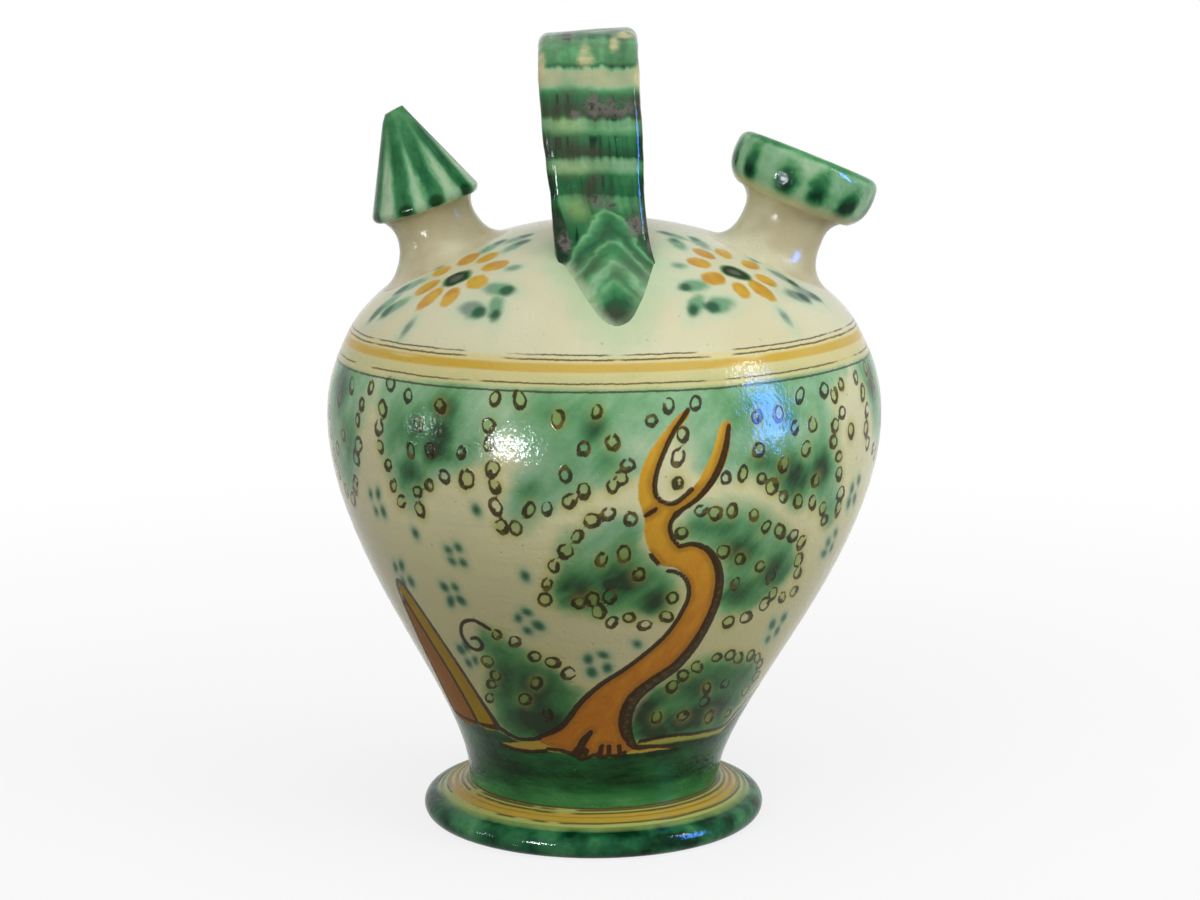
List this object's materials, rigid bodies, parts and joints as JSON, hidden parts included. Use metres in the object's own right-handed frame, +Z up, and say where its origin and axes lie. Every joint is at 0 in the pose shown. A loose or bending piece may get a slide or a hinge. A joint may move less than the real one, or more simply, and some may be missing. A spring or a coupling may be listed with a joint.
{
  "type": "water pitcher",
  "caption": "Closed earthenware water pitcher with a strap handle over its domed top, a wide filling mouth, a pointed drinking spout, a round foot and painted glaze.",
  "frame": {"origin": "under the belly's axis, on the surface that the foot stands on", "axes": "+Z up the belly's axis; +X towards the filling mouth, -X towards the drinking spout; the handle arches from -Y to +Y"},
  "size_m": [0.2, 0.2, 0.2873],
  "materials": {
    "cream_glaze": "glossy",
    "painted_glaze": "glossy",
    "green_glaze": "glossy"
  },
  "bodies": {
    "root": {"foot_plate": "green_glaze", "belly": "painted_glaze", "shoulder_dome": "cream_glaze", "filler_neck": "cream_glaze", "filler_luting_coil": "cream_glaze", "filler_collar": "green_glaze", "spout_neck": "cream_glaze", "spout_luting_coil": "cream_glaze", "spout_cone": "green_glaze", "handle_strap": "green_glaze", "handle_tongue_front": "green_glaze", "handle_tongue_rear": "green_glaze"}
  },
  "joints": []
}
